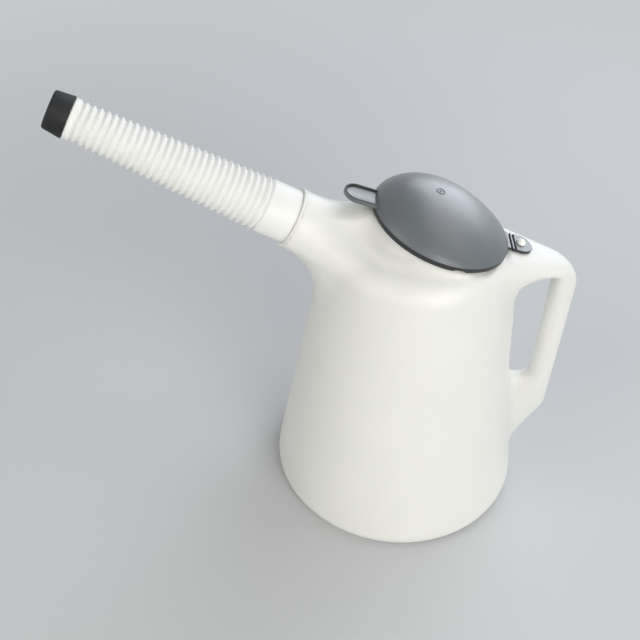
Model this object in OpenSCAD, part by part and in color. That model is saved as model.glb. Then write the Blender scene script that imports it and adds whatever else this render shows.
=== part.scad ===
// Measuring jug for oil: a blow-moulded conical body with a hollow handle, a corrugated
// pouring spout with a pull-off cap, and a domed lid on a riveted strap.
// Origin at the middle of the base, +Z up, spout towards -X, handle towards +X.

/* [Body] */
// Widest diameter, just above the base
base_d = 205; // [180:1:230]
// Radius of the rounded corner between base and wall
base_corner_r = 9; // [5:0.5:16]
// Lean of the conical wall towards the axis, in degrees
wall_slope = 8.9; // [6:0.1:11]
// Height at which the wall turns into the shoulder
shoulder_z = 228; // [215:1:240]
// Radius of the rounded shoulder
shoulder_r = 22; // [16:0.5:26]
// Wall thickness of the blown body
body_wall = 1.8; // [1.2:0.1:2.4]
// Depth of the push-up in the middle of the base
base_recess = 3; // [1.5:0.5:6]
// Width of the ring that the jug stands on
base_ring_w = 14; // [8:1:20]

/* [Mouth] */
// Outside diameter of the mouth's collar
mouth_d = 92; // [86:1:96]
// Tilt of the mouth, lower at the handle, in degrees
mouth_tilt = 17.3; // [12:0.1:20]
// Height of the mouth's middle above the start of the shoulder
mouth_rise = 28; // [26:0.1:32]
// Distance from the lid's edge to the wall above the handle
lid_setback = 2.9; // [1:0.1:6]
// How far the bead round the mouth stands out of the collar
mouth_bead = 1.6; // [1.2:0.1:2]

/* [Neck] */
// Distance of the neck's lip beyond the top of the wall
neck_reach = 23.8; // [20:0.1:28]
// Height of the lip's middle above the start of the shoulder
neck_rise = 26.9; // [24:0.1:30]
// Rise of the neck and spout above the horizontal, in degrees
neck_angle = 27; // [22:0.5:32]
// Radius of the hollow curve under the neck
neck_fillet_r = 48; // [40:1:49]
// How far the rolled lip stands out of the neck
neck_lip = 0.8; // [0.6:0.1:1.6]

/* [Handle] */
// Diameter of the round grip
grip_d = 20; // [17:0.5:22]
// Gap for the fingers at the foot of the opening
finger_gap = 16; // [14:0.5:24]
// Height of the foot of the opening
opening_z = 104; // [95:1:115]
// Thickness of the arm between the mouth and the grip
arm_t = 16; // [14:0.5:18]
// Width of the arm where it leaves the wall
arm_w = 50; // [40:1:54]
// Width of the curve between the arm and the wall
arm_curve_w = 22; // [18:1:24]
// Height of the curve between the arm and the wall
arm_curve_h = 60; // [50:1:66]
// Outside radius of the handle's top corner
grip_corner_r = 26; // [22:1:30]
// Radius of the opening's upper outer corner
opening_top_r = 3; // [2:0.5:6]
// Radius of the opening's lower outer corner
opening_corner_r = 8; // [4:1:12]
// Height at which the grip turns back to the wall
grip_foot_z = 72; // [68:1:78]
// Lean of the grip's foot towards the wall, in degrees
foot_lean = 27; // [22:1:30]
// Outside radius of the bend at the grip's foot
foot_bend_r = 24; // [16:1:30]
// Radius of the hollow curve under the grip's foot
foot_curve_r = 44; // [34:1:48]

/* [Spout] */
// Diameter of the smooth cuff in the neck
cuff_d = 39.4; // [34:0.2:42]
// Length of the cuff inside the neck
cuff_depth = 20; // [14:1:26]
// Length of the cuff outside the neck
cuff_out = 22; // [16:1:28]
// Number of ridges
ridge_count = 28; // [18:1:34]
// Distance from one ridge to the next
ridge_pitch = 4.85; // [4:0.05:5.5]
// Height of a ridge
ridge_h = 2; // [1.2:0.1:2.6]
// Diameter over the ridge nearest the tip
tip_crest_d = 28.8; // [25:0.1:33]
// Length of the plain collar behind the cap
tip_collar_l = 4; // [3:0.5:8]
// Length of the nozzle under the cap
nozzle_l = 12; // [9:0.5:15]
// Taper of the nozzle's radius over its length
nozzle_taper = 0.9; // [0.4:0.1:1.4]
// Wall thickness of the spout
spout_wall = 1.3; // [0.9:0.1:1.6]
// Radial play of the cuff in the neck
cuff_play = 0.2; // [0.1:0.05:0.4]

/* [Cap] */
// Thickness of the cap's rim
cap_wall = 1.7; // [1.3:0.1:2.2]
// Thickness of the cap's end
cap_end = 1.8; // [1.2:0.1:2.5]
// Rounding of the cap's end
cap_round = 1.2; // [0.5:0.1:1.2]
// Radial play of the cap on the nozzle
cap_play = 0.35; // [0.25:0.05:0.5]

/* [Lid] */
// Wall thickness of the lid
lid_wall = 1.8; // [1.4:0.1:2.4]
// Play between the lid's skirt and the mouth's bead
lid_play = 2.6; // [2.2:0.1:3.2]
// Depth of the skirt
skirt_h = 4.3; // [3.8:0.1:5]
// Height of the dome above the skirt
dome_h = 22; // [16:0.5:26]
// How far the top of the dome lies towards the spout
dome_lean = 10.5; // [0:0.5:14]
// Length of the thumb tab
tab_l = 22.5; // [16:0.5:28]
// Width of the thumb tab
tab_w = 19.6; // [14:0.2:22]
// Height of the tab's top above the rim of the lid
tab_rise = 2.7; // [1.5:0.1:3.5]
// Height of the tab's raised edge
tab_edge_h = 3.6; // [3:0.1:4.4]
// Thickness of the tab's floor
tab_floor = 1.8; // [1.2:0.1:2.2]
// Thickness of the tab's raised edge
tab_edge_w = 1.5; // [1:0.1:2]

/* [Hinge] */
// Width of the hinge strap
strap_w = 15.6; // [12:0.2:18]
// Thickness of the hinge strap
strap_t = 2.4; // [1.8:0.1:2.6]
// Depth of the strap's top below the rim of the lid
strap_drop = 0.3; // [0.2:0.1:0.8]
// Distance from the lid's edge to the folding groove
strap_stub = 2.2; // [1.6:0.1:3]
// Width of each groove
groove_w = 1.3; // [0.9:0.1:1.5]
// Width of the bar between the two grooves
hinge_bar = 1.6; // [1.2:0.1:2]
// Thickness left under the second groove
groove_web = 1; // [0.6:0.1:1.4]
// Distance from the folding groove to the rivet
rivet_x = 8.2; // [7:0.1:9.5]
// Distance from the rivet to the end of the strap
strap_tail = 9.3; // [8.5:0.1:11]
// Diameter of the rivet's head
rivet_head_d = 7.4; // [6:0.1:8]
// Height of the rivet's head
rivet_head_h = 3.2; // [2.4:0.1:3.6]
// Diameter of the rivet's shank
rivet_d = 3.6; // [3:0.1:4.2]
// How far the rivet's foot spreads beyond its shank
rivet_foot = 0.6; // [0.4:0.1:0.8]
// Height of the rivet's foot
rivet_foot_h = 1.4; // [1:0.1:2]
// Radial play of the rivet in its holes
rivet_play = 0.15; // [0.1:0.05:0.25]
// Gap between parts that rest on each other
seat_gap = 0.1; // [0.05:0.05:0.2]

/* [Hidden] */
$fn = 96;

milky = [0.93, 0.93, 0.90];
pale = [0.96, 0.96, 0.95];
charcoal = [0.16, 0.17, 0.18];
white = [0.98, 0.98, 0.97];

// Sides and steps of the lofted surfaces
loft_sides = 48;
loft_steps = 12;
handle_sides = 24;
dome_end = 0.985;
arc_steps = 10;
overlap = 1;
tab_root = 4;

// Wall of the body: radius at height z
function wall_r(z) = base_d / 2 - base_corner_r * (1 - cos(wall_slope))
    - tan(wall_slope) * (z - base_corner_r * (1 + sin(wall_slope)));
function arc(x, y, r, from, to) =
    [for (i = [0:arc_steps]) let (a = from + (to - from) * i / arc_steps) [x + r * cos(a), y + r * sin(a)]];

top_r = wall_r(shoulder_z);
shoulder_x = top_r - shoulder_r * cos(wall_slope);
shoulder_y = shoulder_z - shoulder_r * sin(wall_slope);
ring_r = base_d / 2 - base_corner_r;

// Mouth and lid
mouth_r = mouth_d / 2;
bead_r = mouth_r + mouth_bead;
lid_in_r = bead_r + lid_play;
lid_r = lid_in_r + lid_wall;
mouth_x = top_r - lid_setback - lid_r * cos(mouth_tilt);
mouth_z = shoulder_z + mouth_rise;
rim_drop = 1;
lid_gap = 0.8;
collar_depth = 34;

// Hinge strap, measured from the middle of the mouth
fold_x = lid_r + strap_stub;
strap_z = -strap_drop;
pad_z = strap_z - strap_t - seat_gap;
strap_end = fold_x + rivet_x + strap_tail;
pad_depth = 4;

// Neck and spout
cuff_r = cuff_d / 2;
neck_in_r = cuff_r + cuff_play;
neck_r = neck_in_r + body_wall;
neck_x = -(top_r + neck_reach);
neck_z = shoulder_z + neck_rise;
neck_sweep = 90 - neck_angle + wall_slope;
neck_end = 66;
fillet_arm = neck_r + neck_fillet_r;
fillet_x = neck_x - fillet_arm * sin(neck_angle);
fillet_z = neck_z - fillet_arm * cos(neck_angle);
fillet_gap = (-fillet_x - wall_r(fillet_z)) * cos(wall_slope);
flare_from = (fillet_gap - neck_fillet_r + overlap) / cos(neck_angle - wall_slope);
// Share of the underside's flare that the sides and the top of the neck take
flare_side = 0.62;
flare_top = 0.15;
flare_kept = 0.35;

ridges_l = (ridge_count - 1) * ridge_pitch;
// Half widths of a ridge at its foot and top, and the run from a plain end to the nearest crest
ridge_foot = ridge_pitch * 0.42;
ridge_top = ridge_pitch * 0.08;
ridge_end = ridge_pitch * 0.75;
first_crest_z = cuff_out + ridge_end;
collar_z = first_crest_z + ridges_l + ridge_end;
nozzle_z = collar_z + tip_collar_l;
nozzle_end_z = nozzle_z + nozzle_l;
tip_crest_r = tip_crest_d / 2;
crest_proud = 0.3;
base_crest_r = cuff_r + crest_proud;
cap_proud = 0.5;
cap_in_r = tip_crest_r + cap_proud - cap_wall;
nozzle_r = cap_in_r - cap_play;
cap_end_z = nozzle_end_z + cap_play + cap_end;

// Handle: its outlines as lines, each with the angle of its normal and its distance from the origin
grip_r = grip_d / 2;
grip_x = wall_r(opening_z) + finger_gap + grip_r;
arm_way = 90 - mouth_tilt;
arm_top = mouth_x * cos(arm_way) + mouth_z * sin(arm_way) + pad_z - seat_gap;
arm_low = arm_top - arm_t;
foot_off = grip_x * cos(foot_lean) - grip_foot_z * sin(foot_lean) + grip_r;
// Depth of the handle's roots in the wall, and where their ends lie inside the body
root_sink = 1.5;
wall_off = wall_r(0) * cos(wall_slope) - root_sink;
root_x = 36;
web_root_x = 60;
foot_sink = 12;
rivet_seat = 0.3;

module at_mouth() {
    translate([mouth_x, 0, mouth_z]) rotate([0, mouth_tilt, 0]) children();
}

module at_neck() {
    translate([neck_x, 0, neck_z]) rotate([0, neck_angle - 90, 0]) children();
}

// Skin through closed rings of equal size, listed upwards, with flat ends
module skin(rings) {
    n = len(rings[0]);
    last = (len(rings) - 1) * n;
    polyhedron(
        points = [for (ring = rings) each ring],
        faces = concat(
            [[for (j = [0:n - 1]) j]],
            [[for (j = [n - 1:-1:0]) last + j]],
            [for (i = [0:len(rings) - 2], j = [0:n - 1])
                let (k = (j + 1) % n, a = i * n, b = a + n)
                each [[a + j, b + j, b + k], [a + j, b + k, a + k]]]));
}

// Turned body: push-up base, rounded corner, conical wall, rounded shoulder
module turned_body(inset) {
    corner = arc(ring_r, base_corner_r, base_corner_r - inset, -90, wall_slope);
    shoulder = arc(shoulder_x, shoulder_y, shoulder_r - inset, wall_slope, 90);
    foot = ring_r - base_ring_w;
    rotate_extrude()
        polygon(concat(
            [[0, base_recess + inset], [foot - base_recess, base_recess + inset], [foot, inset]],
            corner, shoulder, [[0, shoulder_y + shoulder_r - inset]]));
}

// Radius of the neck's skin at depth t behind the lip, at an angle from its top
function flare(t, r) = t <= flare_from ? 0
    : t >= flare_from + r * sin(neck_sweep) ? r * (1 - cos(neck_sweep))
    : r - sqrt(r * r - pow(t - flare_from, 2));
function flare_share(a) = flare_side + ((cos(a) < 0 ? 1 : flare_top) - flare_side) * pow(cos(a), 4);
function neck_ring(t, inset, keep) = [for (j = [0:loft_sides - 1])
    let (a = 360 * j / loft_sides,
         r = neck_r - inset + keep * flare_share(a) * flare(t, neck_fillet_r + inset))
    [r * cos(a), r * sin(a), -t]];

// Neck: a horn that flares out of the wall below and runs into the mouth's collar above
module neck(inset) {
    flare_to = flare_from + neck_fillet_r * sin(neck_sweep);
    at_neck() skin(concat(
        [neck_ring(neck_end, inset, flare_kept)],
        [for (i = [loft_steps:-1:0])
            let (s = sin(90 * i / loft_steps)) neck_ring(flare_from + (flare_to - flare_from) * s, inset, 1)],
        [neck_ring(inset > 0 ? -overlap : neck_lip, inset, 0)]));
}

module neck_lip_ring() {
    at_neck()
        rotate_extrude()
            polygon(concat(
                [[neck_in_r, -3 * neck_lip], [neck_r - overlap / 2, -3 * neck_lip]],
                arc(neck_r, -neck_lip, neck_lip, -70, 90),
                [[neck_in_r, 0]]));
}

// Point where two lines meet, each with the angle of its normal and its distance from the origin
function meet(a, p, b, q) = [p * sin(b) - q * sin(a), q * cos(a) - p * cos(b)] / sin(b - a);
// Round corner between two such lines
function corner(a, p, b, q, r) = let (c = meet(a, p - r, b, q - r)) arc(c.x, c.y, r, a, b);
function crest(x) = [x, (arm_top - x * cos(arm_way)) / sin(arm_way)];

// Oval curve of the opening from the wall up to the arm's underside
rise_way = arm_way - wall_slope;
curve_c = meet(wall_slope, wall_off + arm_curve_w, arm_way,
    arm_low - norm([arm_curve_w * cos(rise_way), arm_curve_h * sin(rise_way)]));
curve_end = atan2(arm_curve_h * sin(rise_way), arm_curve_w * cos(rise_way));
arm_curve = [for (i = [0:arc_steps]) let (a = 180 + (curve_end - 180) * i / arc_steps,
    u = arm_curve_w * cos(a), v = arm_curve_h * sin(a))
    curve_c + [u * cos(wall_slope) - v * sin(wall_slope), u * sin(wall_slope) + v * cos(wall_slope)]];

// Outer and inner outline of the handle, point by point from the arm's root to the foot's
foot_c = meet(-foot_lean, foot_off + foot_curve_r, wall_slope, wall_off + foot_curve_r);
foot_curve = arc(foot_c.x, foot_c.y, foot_curve_r, 180 - foot_lean, 180 + wall_slope);
foot_low = foot_curve[arc_steps];
web_x = grip_x - grip_r - opening_corner_r;
outer_line = concat(
    [for (i = [0:arc_steps]) crest(root_x + (arm_curve[arc_steps].x - root_x) * i / arc_steps)],
    corner(arm_way, arm_top, 0, grip_x + grip_r, grip_corner_r),
    corner(0, grip_x + grip_r, -foot_lean, foot_off, foot_bend_r),
    foot_curve, [foot_low - [foot_sink, 0]]);
inner_line = concat(
    arm_curve,
    corner(arm_way, arm_low, 0, grip_x - grip_r, opening_top_r),
    corner(0, grip_x - grip_r, -90, -opening_z, opening_corner_r),
    [for (i = [1:arc_steps + 2]) [web_x + (web_root_x - web_x) * i / (arc_steps + 2), opening_z]]);

// Half the width of the handle, wide at the arm's root
function handle_half(i) = grip_r + (i > 2 * arc_steps + 1 ? 0
    : (arm_w / 2 - grip_r) * min(1, (grip_x + grip_r - outer_line[i].x) / (grip_x + grip_r - top_r)));
function handle_ring(p, q, half, inset) =
    let (m = (p + q) / 2, h = (p - q) / 2 * (1 - 2 * inset / norm(p - q)))
    [for (j = [0:handle_sides - 1]) let (a = 360 * j / handle_sides)
        [m.x + h.x * cos(a), (inset - half) * sin(a), m.y + h.y * cos(a)]];

// Handle: a flat arm that narrows to a round grip, and a leaning foot with a web, oval all along
module handle(inset) {
    skin([for (i = [0:len(outer_line) - 1])
        handle_ring(outer_line[i], inner_line[i], handle_half(i), inset)]);
}

// Space under the lid that the shoulder stays clear of
module lid_clearance(inset) {
    at_mouth()
        translate([0, 0, -skirt_h - lid_gap - inset])
            cylinder(h = collar_depth + skirt_h, r = lid_r + lid_gap + inset);
}

module closed_form(inset) {
    difference() {
        union() {
            turned_body(inset);
            neck(inset);
            handle(inset);
        }
        lid_clearance(inset);
    }
}

module mouth_collar() {
    bead_h = 2 * mouth_bead;
    chamfer = bead_h * 0.3;
    at_mouth()
        rotate_extrude()
            polygon([
                [0, -collar_depth], [mouth_r, -collar_depth], [mouth_r, -rim_drop - bead_h],
                [bead_r, -rim_drop - bead_h + chamfer], [bead_r, -rim_drop - chamfer],
                [bead_r - chamfer, -rim_drop], [0, -rim_drop]]);
}

module rivet_pad() {
    at_mouth()
        translate([0, 0, pad_z - pad_depth])
            linear_extrude(pad_depth)
                strap_outline(lid_r + lid_gap + overlap);
}

module strap_outline(from) {
    end_r = strap_w / 2;
    translate([from, -end_r]) square([strap_end - end_r - from, strap_w]);
    translate([strap_end - end_r, 0]) circle(end_r);
}

module jug_body() {
    color(milky)
        difference() {
            union() {
                closed_form(0);
                mouth_collar();
                neck_lip_ring();
                rivet_pad();
            }
            closed_form(body_wall);
            at_mouth()
                translate([0, 0, -collar_depth - overlap])
                    cylinder(h = 2 * collar_depth, r = mouth_r - body_wall);
            at_mouth()
                translate([fold_x + rivet_x, 0, pad_z - 2 * pad_depth])
                    cylinder(h = 3 * pad_depth, r = rivet_d / 2 + rivet_play);
            at_neck()
                translate([0, 0, -cuff_depth - overlap])
                    cylinder(h = 2 * cuff_depth, r = neck_in_r);
        }
}

// Radius over the ridges at height z above the neck's lip
function crest_r(z) = base_crest_r + (tip_crest_r - base_crest_r) * (z - first_crest_z) / ridges_l;
function ridge_profile(inset) = [for (i = [0:ridge_count - 1])
    let (z = first_crest_z + i * ridge_pitch, c = crest_r(z) - inset)
    each [[c - ridge_h, z - ridge_foot], [c, z - ridge_top],
          [c, z + ridge_top], [c - ridge_h, z + ridge_foot]]];

// One moulded tube: cuff, ridges, collar and nozzle, open at both ends
module flexible_spout() {
    outside = concat(
        [[cuff_r, -cuff_depth], [cuff_r, cuff_out]], ridge_profile(0),
        [[tip_crest_r, collar_z], [tip_crest_r, nozzle_z], [nozzle_r, nozzle_z],
         [nozzle_r - nozzle_taper, nozzle_end_z]]);
    inside = concat(
        [[cuff_r - spout_wall, -cuff_depth], [cuff_r - spout_wall, cuff_out]], ridge_profile(spout_wall),
        [[nozzle_r - spout_wall, collar_z], [nozzle_r - spout_wall, nozzle_z],
         [nozzle_r - nozzle_taper - spout_wall, nozzle_end_z]]);
    color(pale)
        at_neck()
            rotate_extrude()
                polygon(concat(outside, [for (i = [len(inside) - 1:-1:0]) inside[i]]));
}

module spout_cap() {
    rim_z = nozzle_z + cap_play;
    rim_r = cap_in_r + cap_wall;
    end_r = rim_r - nozzle_taper - cap_proud;
    bore_z = cap_end_z - cap_end;
    color(charcoal)
        at_neck()
            rotate_extrude()
                polygon(concat(
                    [[cap_in_r, rim_z], [rim_r, rim_z]],
                    arc(end_r - cap_round, cap_end_z - cap_round, cap_round, 0, 90),
                    [[0, cap_end_z], [0, bore_z], [cap_in_r - nozzle_taper, bore_z]]));
}

// Ring of the lid's dome: a round cap whose rings slide towards the spout as they rise
function dome_ring(r, h, s) =
    let (ball_r = (r * r + h * h) / (2 * h), edge = asin(min(1, r / ball_r)), a = edge * (1 - s),
         z = ball_r * cos(a) - (ball_r - h), rr = ball_r * sin(a))
    [for (j = [0:loft_sides - 1]) let (b = 360 * j / loft_sides)
        [rr * cos(b) - dome_lean * z / h, rr * sin(b), z]];

module dome(r, h, foot) {
    skin(concat(
        [[for (j = [0:loft_sides - 1]) let (b = 360 * j / loft_sides) [r * cos(b), r * sin(b), -foot]]],
        [for (i = [0:loft_steps - 1]) dome_ring(r, h, i / loft_steps)],
        [dome_ring(r, h, dome_end)]));
}

// Thumb tab: a tray with a raised edge round its free end
module thumb_tab() {
    module outline(inset) {
        end_r = tab_w / 2 - inset;
        translate([-lid_r - tab_l + tab_w / 2, 0]) circle(end_r);
        translate([-lid_r - tab_l + tab_w / 2, -end_r]) square([tab_l - tab_w / 2 + tab_root, 2 * end_r]);
    }
    low = tab_rise - tab_edge_h;
    difference() {
        translate([0, 0, low]) linear_extrude(tab_edge_h) outline(0);
        translate([0, 0, low + tab_floor]) linear_extrude(tab_edge_h) outline(tab_edge_w);
    }
}

module lid() {
    color(charcoal)
        at_mouth()
            difference() {
                union() {
                    dome(lid_r, dome_h, skirt_h);
                    thumb_tab();
                    translate([lid_r - lid_wall, -strap_w / 2, strap_z - strap_t])
                        cube([strap_stub + lid_wall - groove_w / 2, strap_w, strap_t]);
                }
                translate([0, 0, -overlap]) dome(lid_in_r, dome_h - lid_wall + overlap, skirt_h);
            }
}

// Fixed leaf of the strap: the bar beside the fold, a second groove and the riveted end
module hinge_leaf() {
    from = fold_x + groove_w / 2;
    color(charcoal)
        at_mouth()
            difference() {
                translate([0, 0, strap_z - strap_t]) linear_extrude(strap_t) strap_outline(from);
                translate([from + hinge_bar, -strap_w, strap_z - strap_t + groove_web])
                    cube([groove_w, 2 * strap_w, strap_t]);
                translate([fold_x + rivet_x, 0, strap_z - 2 * strap_t])
                    cylinder(h = 3 * strap_t, r = rivet_d / 2 + rivet_play);
            }
}

module hinge_rivet() {
    head_r = rivet_head_d / 2;
    ball_r = (head_r * head_r + rivet_head_h * rivet_head_h) / (2 * rivet_head_h);
    edge = acos(1 - rivet_head_h / ball_r);
    foot_r = rivet_d / 2 + rivet_foot;
    foot_z = pad_z - seat_gap - body_wall - rivet_seat;
    head_z = strap_z + seat_gap;
    color(white)
        at_mouth()
            translate([fold_x + rivet_x, 0, 0])
                rotate_extrude()
                    polygon(concat(
                        [[0, foot_z - rivet_foot_h], [foot_r - 2 * rivet_foot, foot_z - rivet_foot_h],
                         [foot_r, foot_z], [rivet_d / 2, foot_z], [rivet_d / 2, head_z]],
                        arc(0, head_z + rivet_head_h - ball_r, ball_r, 90 - edge, 90)));
}

jug_body();
flexible_spout();
spout_cap();
lid();
hinge_leaf();
hinge_rivet();
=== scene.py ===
"""Looks of a measuring jug: a milky blown jug with a corrugated spout and a hinged domed lid."""

import itertools
import logging
from dataclasses import dataclass
from enum import Enum
from typing import Any

import bmesh
import bpy
import numpy as np
from mathutils import Matrix

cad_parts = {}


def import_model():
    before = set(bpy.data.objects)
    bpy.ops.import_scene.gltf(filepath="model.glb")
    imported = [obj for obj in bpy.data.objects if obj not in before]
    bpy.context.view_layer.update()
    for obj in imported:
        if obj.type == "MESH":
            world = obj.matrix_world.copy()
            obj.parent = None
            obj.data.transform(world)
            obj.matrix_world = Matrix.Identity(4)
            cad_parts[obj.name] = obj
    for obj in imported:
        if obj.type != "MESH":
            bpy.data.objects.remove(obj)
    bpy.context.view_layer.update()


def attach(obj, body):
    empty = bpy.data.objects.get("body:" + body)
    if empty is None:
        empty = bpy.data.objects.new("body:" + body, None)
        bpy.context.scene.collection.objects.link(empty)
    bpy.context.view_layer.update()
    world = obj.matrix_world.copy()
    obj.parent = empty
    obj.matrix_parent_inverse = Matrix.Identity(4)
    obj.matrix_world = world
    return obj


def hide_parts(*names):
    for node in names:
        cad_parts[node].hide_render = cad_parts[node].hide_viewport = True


log = logging.getLogger("measuring_jug")

MM = 0.001
# Radius at which a turned profile meets its axis, in mm
AXIS_R = 1e-3
# Turn, in degrees, above which an edge is shaded as sharp: the jug's rims and pad, plates, turned pieces
RIM_CREASE = 40.0
PLATE_CREASE = 35.0
TURNED_CREASE = 50.0
# Least length that is divided by, least width of a fillet and least divisor of a mitre
TINY = 1e-9
LEAST_FILLET = 1e-6
LEAST_MITRE = 0.2
Array = np.ndarray
Surface = tuple[Array, list[list[int]]]


class Body(Enum):
    """The moving bodies of the jug."""

    JUG = "jug"
    LID = "lid"
    CAP = "cap"


class Slot(Enum):
    """The record's material slots."""

    MILKY = "milky_polyethylene"
    WHITE = "white_polyethylene"
    BLACK = "black_plastic"
    CHARCOAL = "charcoal_plastic"
    RIVET = "white_rivet"


# Small geometry helpers


def unit(vectors: Array) -> Array:
    """Scale each row to length one."""
    length = np.linalg.norm(vectors, axis=-1, keepdims=True)
    return vectors / np.maximum(length, TINY)


def arc(centre: tuple[float, float], radius: float, start: float, end: float, steps: int) -> Array:
    """Points on a circular arc.

    Args:
        centre: middle of the arc, in mm.
        radius: radius, in mm.
        start: first angle, in degrees.
        end: last angle, in degrees.
        steps: number of stretches.

    Returns:
        Rows (centre + radius * (cos a, sin a)) for angles evenly spaced from start to end.
    """
    a = np.radians(np.linspace(start, end, steps + 1))
    return np.column_stack([centre[0] + radius * np.cos(a), centre[1] + radius * np.sin(a)])


def grid_faces(rows: int, columns: int, loop: bool) -> list[list[int]]:
    """Quads of a grid whose columns close on themselves.

    Args:
        rows: number of rows of points.
        columns: number of points in a row.
        loop: whether the last row joins the first.

    Returns:
        Four indices for each quad.
    """
    i = np.arange(rows if loop else rows - 1)[:, None]
    j = np.arange(columns)[None, :]
    k = (j + 1) % columns
    a = i * columns
    b = (i + 1) % rows * columns
    return np.stack([a + j, a + k, b + k, b + j], axis=-1).reshape(-1, 4).tolist()


def join(*surfaces: Surface) -> Surface:
    """Put several surfaces into one.

    Args:
        surfaces: points and faces of each.

    Returns:
        All points, and faces that count through them.
    """
    points: list[Array] = []
    faces: list[list[int]] = []
    count = 0
    for part_points, part_faces in surfaces:
        points.append(part_points)
        faces += [[count + v for v in face] for face in part_faces]
        count += len(part_points)
    return np.vstack(points), faces


@dataclass(frozen=True)
class Seat:
    """A tilted place in the plane y = 0 that pieces are made on.

    Attributes:
        x: distance of its origin along X, in mm.
        z: height of its origin, in mm.
        turn: turn about +Y, in degrees.
    """

    x: float
    z: float
    turn: float

    def matrix(self) -> Array:
        """Rotation about +Y as three rows."""
        c, s = np.cos(np.radians(self.turn)), np.sin(np.radians(self.turn))
        return np.array([[c, 0.0, s], [0.0, 1.0, 0.0], [-s, 0.0, c]])

    def out(self, points: Array) -> Array:
        """Points of the seat's own frame in the jug's frame."""
        return points @ self.matrix().T + [self.x, 0.0, self.z]

    def into(self, points: Array) -> Array:
        """Points of the jug's frame in the seat's own frame."""
        return (points - [self.x, 0.0, self.z]) @ self.matrix()


def revolve(seat: Seat, profile: Array, sides: int, loop: bool = True) -> Surface:
    """Surface of revolution: point (r, z) of the profile turns to (r cos b, r sin b, z).

    Args:
        seat: the frame whose axis it turns about.
        profile: rows (radius, height), in mm, listed so that the outside is on the right.
        sides: number of steps round.
        loop: whether the profile is a closed ring, or else runs from axis to axis.

    Returns:
        Points in the jug's frame and faces.
    """
    b = np.linspace(0.0, 2.0 * np.pi, sides, endpoint=False)
    r = profile[:, :1]
    points = np.stack([r * np.cos(b), r * np.sin(b), np.repeat(profile[:, 1:], sides, axis=1)], axis=-1)
    faces = grid_faces(len(profile), sides, loop)
    if not loop:
        last = (len(profile) - 1) * sides
        faces.append(list(range(sides))[::-1])
        faces.append(list(range(last, last + sides)))
    return seat.out(points.reshape(-1, 3)), faces


def slab(seat: Seat, outline: Array, low: float, high: float, bevel: float) -> Surface:
    """Plate with bevelled edges: the outline, moved in by the bevel at the top and the bottom.

    A corner moves along the sum of its sides' normals over one plus their cosine, so that both sides
    move by the bevel.

    Args:
        seat: the frame that it lies in.
        outline: rows (x, y), in mm, anticlockwise.
        low: height of its underside.
        high: height of its top.
        bevel: width of the bevel.

    Returns:
        Points in the jug's frame and faces.
    """
    ahead = unit(np.roll(outline, -1, axis=0) - outline)
    behind = np.roll(ahead, 1, axis=0)
    normal = np.column_stack([ahead[:, 1] + behind[:, 1], -ahead[:, 0] - behind[:, 0]])
    mitre = np.maximum(1.0 + np.sum(ahead * behind, axis=1), LEAST_MITRE)
    inner = outline - normal * bevel / mitre[:, None]
    rings = [(inner, low), (outline, low + bevel), (outline, high - bevel), (inner, high)]
    points = np.vstack([np.insert(ring, 2, z, axis=1) for ring, z in rings])
    n = len(outline)
    faces = grid_faces(len(rings), n, False)
    faces.append(list(range(n))[::-1])
    faces.append(list(range(3 * n, 4 * n)))
    return seat.out(points), faces


# Fields: signed distances with the direction in which they grow


Field = tuple[Array, Array]


def fillet_union(one: Field, two: Field, radius: float | Array, widest: float | Array = np.inf) -> Field:
    """Union of two forms with a fillet where they meet.

    Near the meeting the distance is min(a, b) - k (1 - |a - b| / k)^2 / 4. The width k is
    4 radius (1 - cos(angle / 2)) for the angle between the two surfaces, so that a fillet fades
    where they run the same way, and it fades again where they face each other across a gap.

    Args:
        one: first form.
        two: second form.
        radius: radius of the fillet, in mm.
        widest: greatest width k, in mm.

    Returns:
        The joined form.
    """
    (a, na), (b, nb) = one, two
    cosine = np.sum(na * nb, axis=-1)
    facing = np.clip(1.0 + cosine, 0.0, 1.0)
    k = 4.0 * radius * facing * (1.0 - np.sqrt(np.clip((1.0 + cosine) / 2.0, 0.0, 1.0)))
    k = np.minimum(k, widest) + LEAST_FILLET
    h = np.clip(1.0 - np.abs(a - b) / k, 0.0, 1.0)
    share = np.where(a < b, 1.0 - h / 2.0, h / 2.0)[..., None]
    return np.minimum(a, b) - k * h * h / 4.0, unit(share * na + (1.0 - share) * nb)


def fillet_cut(one: Field, two: Field, radius: float) -> Field:
    """Take the second form out of the first, with a rounded edge of that radius."""
    distance, direction = fillet_union((-one[0], -one[1]), two, radius)
    return -distance, -direction


def rounded_outline(points: Array, sides: list[tuple[float, float]], radii: list[float]) -> Field:
    """Distance to a convex outline in a plane, with a round corner between each side and the next.

    Args:
        points: rows (x, z), in mm.
        sides: angle of each side's outward normal in degrees, anticlockwise, and its distance from
            the origin along that normal.
        radii: radius of the corner after each side, or 0 where the outline is open.

    Returns:
        Signed distance, positive outside, and its direction.
    """
    angle = np.radians([s[0] for s in sides])
    normals = np.column_stack([np.cos(angle), np.sin(angle)])
    offsets = np.array([s[1] for s in sides])
    each = points @ normals.T - offsets
    ways = np.broadcast_to(normals, (len(points), *normals.shape)).copy()
    for i, radius in enumerate(radii):
        if radius <= 0.0:
            continue
        j = (i + 1) % len(sides)
        n, m = normals[i], normals[j]
        centre = np.linalg.solve(np.array([n, m]), offsets[[i, j]] - radius)
        q = points - centre
        wedge = (n[0] * q[:, 1] - n[1] * q[:, 0] > 0.0) & (q[:, 0] * m[1] - q[:, 1] * m[0] > 0.0)
        length = np.linalg.norm(q[wedge], axis=1)
        for side in (i, j):
            each[wedge, side] = length - radius
            ways[wedge, side] = q[wedge] / np.maximum(length, TINY)[:, None]
    rows, nearest = np.arange(len(points)), np.argmax(each, axis=-1)
    return each[rows, nearest], ways[rows, nearest]


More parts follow.
